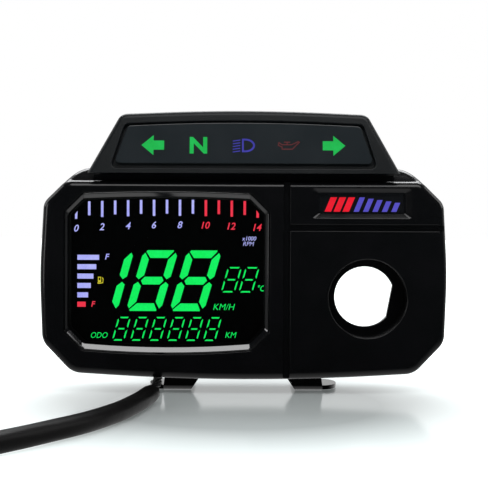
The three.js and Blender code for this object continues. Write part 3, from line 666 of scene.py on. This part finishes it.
def seven_segments(x0, z0, width, height, thick, gap, slant=0.28, shown="abcdefg"):
    """The seven bars of a digit, as slanted outlines with mitred ends."""
    w, h, t, g = width, height, thick, gap
    m, s = h / 2, t / 2
    top = [(0.35 * t + 0.5 * g, h), (w - 0.45 * t - 0.5 * g, h), (w - 0.4 * t - 0.6 * g, h - 0.15 * t),
           (w - t - 0.5 * g, h - t), (t + 0.5 * g, h - t), (0.25 * t + 0.5 * g, h - 0.2 * t)]
    right = [(w - 0.3 * t, h - 0.15 * t - 0.6 * g), (w, h - 0.5 * t - 0.8 * g), (w, m + s + 0.1 * g),
             (w - 0.45 * t, m + g * 0.6), (w - t, m + s + 0.7 * g), (w - t, h - t - 0.7 * g)]
    shapes = {
        "a": top,
        "b": right,
        "c": [(x, h - z) for x, z in right],
        "d": [(x, h - z) for x, z in top],
        "e": [(w - x, h - z) for x, z in right],
        "f": [(w - x, z) for x, z in right],
        "g": [(s + g, m), (t + 0.5 * g, m + s), (w - t - 0.5 * g, m + s), (w - s - g, m),
              (w - t - 0.5 * g, m - s), (t + 0.5 * g, m - s)],
    }
    return [bar(slanted(shapes[letter], x0, z0, slant)) for letter in shown]


def lettering(text, centre, height, slant=0.0, weight=0.0, front=ART_FRONT, back=ART_BACK, where=on_glass,
              narrow=1.0):
    """Thin printed lettering of a given height round a centre."""
    curve = bpy.data.curves.new("lettering", "FONT")
    curve.body = text
    curve.offset = weight
    curve.resolution_u = 3
    obj = bpy.data.objects.new("lettering", curve)
    SCENE.collection.objects.link(obj)
    graph = bpy.context.evaluated_depsgraph_get()
    flat = bpy.data.meshes.new_from_object(obj.evaluated_get(graph))
    bpy.data.objects.remove(obj)
    low_x, high_x = min(v.co.x for v in flat.vertices), max(v.co.x for v in flat.vertices)
    low_y, high_y = min(v.co.y for v in flat.vertices), max(v.co.y for v in flat.vertices)
    scale = height / (high_y - low_y)
    for v in flat.vertices:
        up = (v.co.y - (low_y + high_y) / 2) * scale
        across = (v.co.x - (low_x + high_x) / 2) * scale * narrow + slant * up
        spot = where(centre[0] + across, centre[1] + up)
        v.co = place(spot.x, front, spot.y)
    shape = bmesh.new()
    shape.from_mesh(flat)
    bmesh.ops.remove_doubles(shape, verts=shape.verts, dist=1e-7)
    raised = bmesh.ops.extrude_face_region(shape, geom=shape.faces[:])
    for v in raised["geom"]:
        if isinstance(v, bmesh.types.BMVert):
            v.co.y += (back - front) * MM
    bmesh.ops.recalc_face_normals(shape, faces=shape.faces)
    shape.to_mesh(flat)
    shape.free()
    made = bpy.data.objects.new("lettering", flat)
    SCENE.collection.objects.link(made)
    return made


green, lavender, red, yellow = [], [], [], []

# rev scale
TICK_PITCH = 5.89
TICK_HALF = 0.56
for k in range(15):
    x = -76.1 + TICK_PITCH * k
    crown = 87.8 + 1.2 * (1 - ((k - 8) / 8) ** 2)
    tall = 7.3 if k % 2 == 0 else 6.3
    low, left, right = crown - tall, x - TICK_HALF, x + TICK_HALF
    shape = [(left, low), (right, low), (right, crown), (left, crown)]
    if k == 0:
        shape = [(left, 80.1), (x + TICK_HALF * 0.7, 80.1), (right, 83.7), (left, 82.2)]
    if k == 14:
        shape = [(left, 81), (right, 81), (right, 82.8), (left, 84.4)]
    (lavender if k < 10 else red).append(bar(shape))
for k, z in enumerate([75.9, 76.6, 77.1, 77.5, 77.6, 77.5, 77.1, 76.6]):
    label = lettering(str(2 * k), (-76.1 + 2 * TICK_PITCH * k + 0.1, z), 3.2, 0.24, 0.012, narrow=0.98)
    (lavender if k < 5 else red).append(label)
lavender.append(lettering("x1000", (2.6, 71.5), 1.9, 0.2, 0.006, narrow=0.95))
lavender.append(lettering("RPM", (2.3, 69.1), 1.9, 0.2, -0.004, narrow=0.95))

# fuel gauge
FUEL_LEFT, FUEL_PITCH, FUEL_TALL = -75.6, 4.28, 2.3
for k, right in enumerate([-65.7, -67, -68.3, -69.5, -70.7, -71.8]):
    low = 61.5 - FUEL_PITCH * k
    shape = [(FUEL_LEFT, low), (right, low), (right, low + FUEL_TALL), (FUEL_LEFT, low + FUEL_TALL)]
    (lavender if k < 5 else red).append(bar(shape))
lavender.append(lettering("F", (-62, 63.0), 2.6, 0.22, 0.02))
red.append(lettering("F", (-68.3, 41.4), 2.5, 0.22, 0.02))
pump = [[(-66.4, 50.7), (-64.6, 50.7), (-64.6, 51.2), (-66.4, 51.2)],
        [(-66.2, 51.4), (-64.8, 51.4), (-64.8, 52.2), (-66.2, 52.2)],
        [(-66.2, 52.2), (-65.9, 52.2), (-65.9, 53.4), (-66.2, 53.4)],
        [(-65.1, 52.2), (-64.8, 52.2), (-64.8, 53.4), (-65.1, 53.4)],
        [(-66.2, 53.4), (-64.8, 53.4), (-64.8, 53.8), (-66.2, 53.8)],
        [(-64.5, 50.9), (-63.9, 50.9), (-63.7, 53), (-64.3, 53.6), (-64.5, 53.4), (-64.05, 52.8), (-64.1, 51.3),
         (-64.5, 51.3)]]
yellow += [bar(shape) for shape in pump]

# speed, temperature and odometer
SPEED_Z, SPEED_TALL = 38.3, 27.7
BIG_BAR, BIG_GAP = 3.5, 1.05
SMALL_BAR, SMALL_GAP = 0.66, 1.35
green += seven_segments(-72.8, SPEED_Z, 15.4, SPEED_TALL, BIG_BAR, BIG_GAP, shown="bc")
for x in (-53.5, -33.7):
    green += seven_segments(x, SPEED_Z, 15.8, SPEED_TALL, BIG_BAR, BIG_GAP, slant=0.295)
for k in range(2):
    green += seven_segments(-10.3 + 8.05 * k, 46.9, 6.4, 11.6, SMALL_BAR, SMALL_GAP)
for k in range(6):
    green += seven_segments(-59.9 + 8.3 * k, 24.7, 5.7, 10.9, SMALL_BAR, SMALL_GAP)
green.append(lettering("°C", (8.1, 48.9), 2.9, 0.22, 0.015, narrow=0.85))
green.append(lettering("KM/H", (-8.75, 40.3), 2.85, 0.24, -0.004, narrow=0.98))
green.append(lettering("ODO", (-65.6, 27.2), 2.6, 0.24, -0.002, narrow=0.88))
green.append(lettering("KM", (-5.6, 27.5), 2.6, 0.24, -0.002, narrow=0.93))

for name, shapes, finish in (("segments_green", green, lit_green), ("segments_lavender", lavender, lit_lavender),
                             ("segments_red", red, lit_red), ("segments_yellow", yellow, lit_yellow)):
    unlit_surroundings(piece(join(name, shapes), finish))

# ---- badge --------------------------------------------------------------------------------

badge_pane = slab("badge_pane", rectangle(32.4, 75.7, 81.2, 94, 1), 3.3, 4.8)
piece(badge_pane, badge_ground, ["badge_window"])


BADGE_LEAN, BADGE_FOOT = 0.42, 83.7
BADGE_ART_FRONT, BADGE_ART_BACK = 3.24, 3.29


def badge_bar(left, right, bottom, top):
    corners = ((left, bottom), (right, bottom), (right, top), (left, top))
    shape = [Vector((x + BADGE_LEAN * (z - BADGE_FOOT), z)) for x, z in corners]
    return printed(shape, BADGE_ART_FRONT, BADGE_ART_BACK)


badge_red = [badge_bar(36.9 + 4.1 * k, 39.9 + 4.1 * k, 83.9, 90.5) for k in range(3)]
badge_violet = [badge_bar(50.2 + 4.3 * k, 52.6 + 4.3 * k, 83.9, 90.5 - 0.6 * k) for k in range(5)]
unlit_surroundings(piece(join("badge_stripes_red", badge_red), badge_crimson))
unlit_surroundings(piece(join("badge_stripes_violet", badge_violet), badge_blue))

# ---- rear housing -------------------------------------------------------------------------

housing = loft("case_back", [
    (11.4, inset(shoulder_outline, 1.2)), (11.6, inset(shoulder_outline, 1)), (13.7, inset(shoulder_outline, 1)),
    (14, inset(shoulder_outline, 1.3)),
])
unite(housing, loft("case_box", [(11.9, housing_outline), *round_back(housing_outline, HOUSING_BACK, 4, 8)]))
room_outline = inset(housing_outline, WALL)
cut(housing, loft("case_room", [(10, room_outline), (HOUSING_BACK - WALL, room_outline)]))
cut(housing, loft("tube_hole", [(42, circle(SWITCH_X, SWITCH_Z, 20.5)), (47, circle(SWITCH_X, SWITCH_Z, 20.5))]))
cut(housing, loft("bush_hole", [(42, circle(-50, 40, 4.5, 48)), (47, circle(-50, 40, 4.5, 48))]))
cut(housing, slab("back_panel", rectangle(-34, 26, 40, 86, 3, 8), 45.5, 48, 0.1))
for x, z in CASE_SCREWS:
    cut(housing, loft("screw_hole", [(10, circle(x, z, SCREW_HOLE, 24)), (15, circle(x, z, SCREW_HOLE, 24))]))
for x, y in BRACKET_SCREWS:
    cut(housing, lathe("pilot", [(SCREW_HOLE, 0), (SCREW_HOLE, 9)], (x, y, 19), "Z", 24))
piece(housing, rear_black, ["rear_housing"])

tube = loft("switch_well", [
    (18.3, circle(SWITCH_X, SWITCH_Z, SWITCH_WALL)), (45.6, circle(SWITCH_X, SWITCH_Z, SWITCH_WALL)),
    (46, circle(SWITCH_X, SWITCH_Z, 19.8)), (46, circle(SWITCH_X, SWITCH_Z, 18.4)),
    (45.6, circle(SWITCH_X, SWITCH_Z, SWITCH_MOUTH)), (18.3, circle(SWITCH_X, SWITCH_Z, SWITCH_MOUTH)),
], loop=True)
piece(tube, well_black, ["switch_tube"])

seal = loft("case_seal", [
    (y, inset(shoulder_outline, inward))
    for y, inward in ((10.3, 1.1), (10.5, 0.95), (10.9, 0.95), (11.1, 1.1), (11.1, 2.5), (10.3, 2.5))
], loop=True)
piece(seal, rubber_black, ["housing_seal"])


def screw(name, x, y, z, axis, head_radius, head_height, length, sign, stands_for):
    """A pan-head tapping screw with a cross recess. Its head faces along the axis by sign."""
    dome = [(head_radius * math.cos(angle), head_height * (0.35 + 0.65 * math.sin(angle)))
            for angle in [math.pi / 2 * k / 6 for k in range(6)]]
    thread = []
    for k in range(int((length - 1.5) / 1.1)):
        thread += [(1.45, -length + 1.5 + 1.1 * k), (1.25, -length + 2.05 + 1.1 * k)]
    profile = [(0.5, -length), *thread, (1.4, -0.2), (1.45, 0), (head_radius - 0.1, 0), (head_radius, 0.1), *dome,
               (0.3, head_height)]
    made = lathe(name, [(r, sign * h) for r, h in profile], (x, y, z), axis, 32)
    for wide, narrow in ((1.3, 0.3), (0.3, 1.3)):
        deep, over = sign * head_height * 0.35, sign * (head_height + 1)
        low, high = min(deep, over), max(deep, over)
        if axis == "Y":
            cross = box("cross", x - wide, x + wide, y + low, y + high, z - narrow, z + narrow, 0.05)
        else:
            cross = box("cross", x - wide, x + wide, y - narrow, y + narrow, z + low, z + high, 0.05)
        cut(made, cross)
    return piece(made, zinc, [stands_for])


for i, (x, z) in enumerate(CASE_SCREWS):
    screw(f"rear_screw_{i + 1}", x, 14.3, z, "Y", 2.6, 2, 9.5, 1, f"case_screw_{i + 1}")
for i, (x, y) in enumerate(BRACKET_SCREWS):
    screw(f"plate_screw_{i + 1}", x, y, 17.4, "Z", 3, 2.2, 9.5, -1, f"bracket_screw_{i + 1}")

# ---- hood ---------------------------------------------------------------------------------

HOOD_FRONT, HOOD_BACK, HOOD_CHIN = -3.5, 34, 101.1
HOOD_SPREAD = 0.5424  # how far each side runs out for each millimetre down
HOOD_LEAN = math.radians(12)


def hood_outline(half, top, base, radius, base_radius=2.5):
    foot = half + (top - base) * HOOD_SPREAD
    return rounded([(-foot, base, base_radius), (foot, base, base_radius), (half, top, radius), (0, top + 2.4, 850),
                    (-half, top, radius)], 10)


lens_outline = rounded([
    (-59.1, 105.5, 2), (59.1, 105.5, 2), (53, 122.8, 2.2), (0, 125.2, 900), (-53, 122.8, 2.2),
], 10)
recess_outline = rounded([
    (-60.6, 103.2, 2.4), (60.6, 103.2, 2.4), (54.2, 123.6, 2.6), (0, 126, 900), (-54.2, 123.6, 2.6),
], 10)


def lean(obj):
    """Leans a piece of the hood back, its front by the full angle and its back wall not at all."""
    for v in obj.data.vertices:
        y, z = v.co.y / MM + CENTRE_DEPTH, v.co.z / MM
        share = (HOOD_BACK - y) / (HOOD_BACK - HOOD_FRONT)
        v.co.y += (z - HOOD_CHIN) * math.tan(HOOD_LEAN) * share * MM
    return obj


hood = loft("lamp_hood", [
    *round_front(hood_outline(56.2, 128.2, 96, 5), HOOD_FRONT, 2.2, 8),
    *round_back(hood_outline(50, 121.5, 96, 5), HOOD_BACK, 3, 8),
])
wall_back = HOOD_FRONT + 4.1
cut(hood, loft("hood_room", [
    (wall_back, hood_outline(53.2, 125.8, 104.9, 3, 2)), (31.6, hood_outline(47, 119.1, 104.9, 3, 2)),
]))
recess = [(y + HOOD_FRONT, ring) for y, ring in lip_rings(recess_outline, 0.4, 2.9, 4)]
cut(hood, loft("lens_recess", recess))
cut(hood, loft("lamp_hole", [(HOOD_FRONT, inset(lens_outline, 1.8)), (wall_back + 1, inset(lens_outline, 1.8))]))
for x in (-49, 49):
    cut(hood, lathe("pilot", [(SCREW_HOLE, 0), (SCREW_HOLE, 10)], (x, 25, 99), "Z", 24))
cut(hood, box("foot", -80, 80, 14, 40, 90, 100.1, 0.05))
cut(hood, box("step_front", -80, 80, -10, 14.3, 90, HOOD_CHIN, 0.05))
cut(hood, box("step_back", -80, 80, 5.5, 14.3, 90, 104.1, 0.05))
piece(lean(hood), hood_black, ["indicator_hood"], 30)

LENS_FRONT = HOOD_FRONT + 1.2
lens = slab("lamp_lens", lens_outline, LENS_FRONT, HOOD_FRONT + 2.6, 0.35)
piece(lean(lens), lens_black, ["indicator_lens"])

LAMP_FRONT, LAMP_BACK = LENS_FRONT - 0.05, LENS_FRONT - 0.01
LAMP_ROW = 113.8


def on_lens(x, z):
    return Vector((x, z))


def lamp(points):
    return printed([Vector(p) for p in points], LAMP_FRONT, LAMP_BACK)


def arrow(centre, direction):
    tip, neck, tail = -5.2, 0.3, 5.1
    outline = [(tip, 0), (neck, -4.6), (neck, -2.1), (tail, -2.1), (tail, 2.1), (neck, 2.1), (neck, 4.6)]
    if direction > 0:
        outline = [(-x, z) for x, z in reversed(outline)]
    return lamp([(centre + x, LAMP_ROW + z) for x, z in outline])


turn_arrows = [arrow(-41.4, -1), arrow(40.9, 1)]
neutral = lettering("N", (-20.7, LAMP_ROW), 7.6, 0.0, 0.035, LAMP_FRONT, LAMP_BACK, on_lens, 1.12)
beam = []
for k in range(5):
    z = 116.3 - 1.25 * k
    beam.append(lamp([(-5.1, z - 0.75), (-1.7, z - 0.25), (-1.7, z + 0.2), (-5.1, z - 0.3)]))
half_turn = [math.pi * k / 24 for k in range(25)]
bowl_out = [(0.6 + 4.4 * math.sin(a), LAMP_ROW - 3.1 * math.cos(a)) for a in half_turn]
bowl_in = [(0.6 + 3.5 * math.sin(a), LAMP_ROW - 2.3 * math.cos(a)) for a in half_turn]
rim_out = [(-0.9, 110.7), *bowl_out, (-0.9, 116.9)]
rim_in = [(-0.1, 111.5), *bowl_in, (-0.1, 116.1)]
beam.append(loft("beam_rim", [
    (y, [Vector(p) for p in rim])
    for y, rim in ((LAMP_FRONT, rim_out), (LAMP_FRONT, rim_in), (LAMP_BACK, rim_in), (LAMP_BACK, rim_out))
], loop=True))


def stroke(a, b, half=0.22):
    a, b = Vector(a), Vector(b)
    side = (b - a).normalized().orthogonal() * half
    over = (b - a).normalized() * half
    return lamp([tuple(p) for p in (a - over + side, a - over - side, b + over - side, b + over + side)])


can = [(17.3, 112.2), (22.0, 112.2), (25.2, 115.4), (24.6, 115.6), (21.6, 114.2), (17.3, 114.2), (15.9, 115.2),
       (15.6, 113.9), (17.3, 113.2)]
oil = [stroke(a, b) for a, b in zip(can, can[1:] + can[:1])]
oil += [stroke((18.4, 115.4), (20.8, 115.4)), stroke((19.6, 114.3), (19.6, 115.4))]
for name, shapes, finish in (("lamp_turn_arrows", turn_arrows, lamp_green), ("lamp_neutral", [neutral], lamp_green),
                             ("lamp_high_beam", beam, lamp_violet), ("lamp_oil", oil, lit_dim_red)):
    unlit_surroundings(piece(lean(join(name, shapes)), finish))

# ---- bracket ------------------------------------------------------------------------------

PLATE, LEG_FRONT, BEND, TOP = 2, 14.3, 2.5, 19.7


def bend(cy, cz, radius, start, stop, steps=8):
    return [(cy + radius * math.cos(math.radians(start + (stop - start) * k / steps)),
             cz + radius * math.sin(math.radians(start + (stop - start) * k / steps))) for k in range(steps + 1)]


section = [
    *bend(LEG_FRONT + BEND, BEND, BEND, 180, 270), (40, 0), (40, PLATE),
    *bend(LEG_FRONT + PLATE + 0.7, PLATE + 0.7, 0.7, 270, 180),
    *bend(LEG_FRONT + PLATE + 0.7, TOP - PLATE - 0.7, 0.7, 180, 90),
    (43, TOP - PLATE), (43, TOP), *bend(LEG_FRONT + BEND, TOP - BEND, BEND, 90, 180),
]
n = len(section)
strip_points = [(x, y, z) for x in (-37.3, 37.3) for y, z in section]
strip_faces = [(k, (k + 1) % n, n + (k + 1) % n, n + k) for k in range(n)]
strip_faces += [tuple(range(n)), tuple(range(n, 2 * n))]
bracket = mesh_object("steel_bracket", strip_points, strip_faces)
leg_gap = [Vector(p) for p in ((-25.2, -1), (25.2, -1), (18.5, 9), (-18.5, 9))]
cut(bracket, loft("leg_gap", [(13, leg_gap), (41, leg_gap)]))
for side in (-1, 1):
    beside = [Vector((side * x, z)) for x, z in ((34.6, 21), (37.3, 2), (50, 2), (50, 21))]
    cut(bracket, loft("leg_side", [(13, beside), (44, beside)]))
    ear = [math.pi * (k / 32 - 0.5) for k in range(33)]
    round_end = [(37.6 + 7 * math.cos(a), 28.9 + 11.1 * math.sin(a)) for a in ear]
    foot = [(24.5, 17.8), (37.6, 17.8), *round_end, (24.5, 40)]
    count = len(foot)
    points = [(side * x, y, z) for z in (0, PLATE) for x, y in foot]
    faces = [(k, (k + 1) % count, count + (k + 1) % count, count + k) for k in range(count)]
    faces += [tuple(range(count)), tuple(range(count, 2 * count))]
    unite(bracket, mesh_object("foot", points, faces))
    cut(bracket, lathe("bolt_hole", [(3.3, 0), (3.3, 4)], (side * 33, 28, -1), "Z", 48))
for x, y in BRACKET_SCREWS:
    cut(bracket, lathe("screw_hole", [(2.15, 0), (2.15, 6)], (x, y, 16), "Z", 24))
edges = bracket.modifiers.new("edges", "BEVEL")
edges.width = 0.35 * MM
edges.segments = 2
edges.limit_method = "ANGLE"
edges.angle_limit = math.radians(50)
bake(bracket)
piece(bracket, paint_black, ["mounting_bracket"])

# ---- the pieces inside, as the CAD has them ------------------------------------------------

inner_finish = {
    "white_plastic": white_plastic, "rubber": rubber_black, "circuit_board": board_green,
    "chip_plastic": chip_black, "capacitor_can": can_metal, "screw_steel": zinc, "led_resin": led_resin,
}
for subpart in frame["record"]["subparts"]:
    node = frame["nodes"][subpart["node"]]
    if not node.hide_render:
        edge = node.modifiers.new("edges", "BEVEL")
        edge.width = 0.12 * MM
        edge.segments = 2
        edge.limit_method = "ANGLE"
        node.data.materials.clear()
        node.data.materials.append(inner_finish[subpart["material_slot"]])

# ---- floor, light -------------------------------------------------------------------------

floor_mesh = bpy.data.meshes.new("floor")
floor_mesh.from_pydata([(-3, -2.5, 0), (3, -2.5, 0), (3, 3.5, 0), (-3, 3.5, 0)], [], [(0, 1, 2, 3)])
floor = bpy.data.objects.new("floor", floor_mesh)
SCENE.collection.objects.link(floor)
floor.location.z = -0.0001
floor_white, tree, shader, at = new_material("floor_white")
shader.inputs["Base Color"].default_value = (0.49, 0.53, 0.53, 1)
shader.inputs["Roughness"].default_value = 0.13
shader.inputs["Specular IOR Level"].default_value = 0.5
shader.inputs["Emission Color"].default_value = (0.93, 1, 0.99, 1)
# painted shadow: the floor's glow fades to white away from a dim patch just before the case, and that dim patch
# paints the case's shadow on the floor
PAINTED_SHADOW_CENTRE, PAINTED_SHADOW_RADIUS, WHITE_RADIUS = (0, -0.045, 0), 0.06, 0.17
PAINTED_SHADOW_GLOW, WHITE_GLOW = 0.09, 1.15
away = tree.nodes.new("ShaderNodeVectorMath")
away.operation = "DISTANCE"
away.inputs[1].default_value = PAINTED_SHADOW_CENTRE
tree.links.new(at, away.inputs[0])
# the floor glows little in the painted shadow near the case and fully away from it
glow_with_painted_shadow = ramp(tree, away.outputs["Value"], PAINTED_SHADOW_GLOW, WHITE_GLOW, PAINTED_SHADOW_RADIUS, WHITE_RADIUS)
tree.links.new(glow_with_painted_shadow, shader.inputs["Emission Strength"])
floor_mesh.materials.append(floor_white)
floor.visible_glossy = False
floor.visible_transmission = False


def softbox(name, at_point, target, size_x, size_y, power, colour=(1, 1, 1)):
    light = bpy.data.lights.new(name, "AREA")
    light.shape = "RECTANGLE"
    light.size, light.size_y = size_x, size_y
    light.energy = power
    light.color = colour
    obj = bpy.data.objects.new(name, light)
    SCENE.collection.objects.link(obj)
    obj.location = at_point
    obj.rotation_euler = (Vector(target) - Vector(at_point)).to_track_quat("-Z", "Y").to_euler()


softbox("overhead", (0, 0.46, 0.75), (0, 0.03, 0), 0.9, 0.42, 9, (0.97, 0.985, 1))
softbox("above_front", (0.1, -0.55, 0.78), (0, 0, 0.05), 0.8, 0.44, 5.4)
softbox("left_front", (-0.95, -0.5, 0.2), (0, 0, 0.06), 0.3, 0.45, 1.6)
softbox("left", (-0.9, 0.1, 0.5), (0, 0, 0.06), 0.5, 0.5, 2.2)
softbox("right", (0.9, 0.1, 0.5), (0, 0, 0.06), 0.5, 0.5, 2.2)

# the camera sees plain white; everything else sees a studio that is bright behind and below, and dark in front
world = bpy.data.worlds.new("studio")
SCENE.world = world
world.use_nodes = True
tree = world.node_tree
tree.nodes.clear()
output = tree.nodes.new("ShaderNodeOutputWorld")
choose = tree.nodes.new("ShaderNodeMixShader")
seen = tree.nodes.new("ShaderNodeBackground")
seen.inputs["Color"].default_value = (1, 1, 1, 1)
seen.inputs["Strength"].default_value = 1.0
lighting = tree.nodes.new("ShaderNodeBackground")
direction = tree.nodes.new("ShaderNodeTexCoord")
split = tree.nodes.new("ShaderNodeSeparateXYZ")
tree.links.new(direction.outputs["Generated"], split.inputs["Vector"])
behind = ramp(tree, split.outputs["Y"], 0.015, 0.85, -0.3, 0.7)
below = ramp(tree, split.outputs["Z"], 1.0, 0, -0.9, -0.3)
brighter = tree.nodes.new("ShaderNodeMath")
brighter.operation = "MAXIMUM"
tree.links.new(behind, brighter.inputs[0])
tree.links.new(below, brighter.inputs[1])
tree.links.new(brighter.outputs["Value"], lighting.inputs["Strength"])
rays = tree.nodes.new("ShaderNodeLightPath")
tree.links.new(rays.outputs["Is Camera Ray"], choose.inputs["Fac"])
tree.links.new(lighting.outputs["Background"], choose.inputs[1])
tree.links.new(seen.outputs["Background"], choose.inputs[2])
tree.links.new(choose.outputs["Shader"], output.inputs["Surface"])
SCENE.view_settings.view_transform = "Standard"
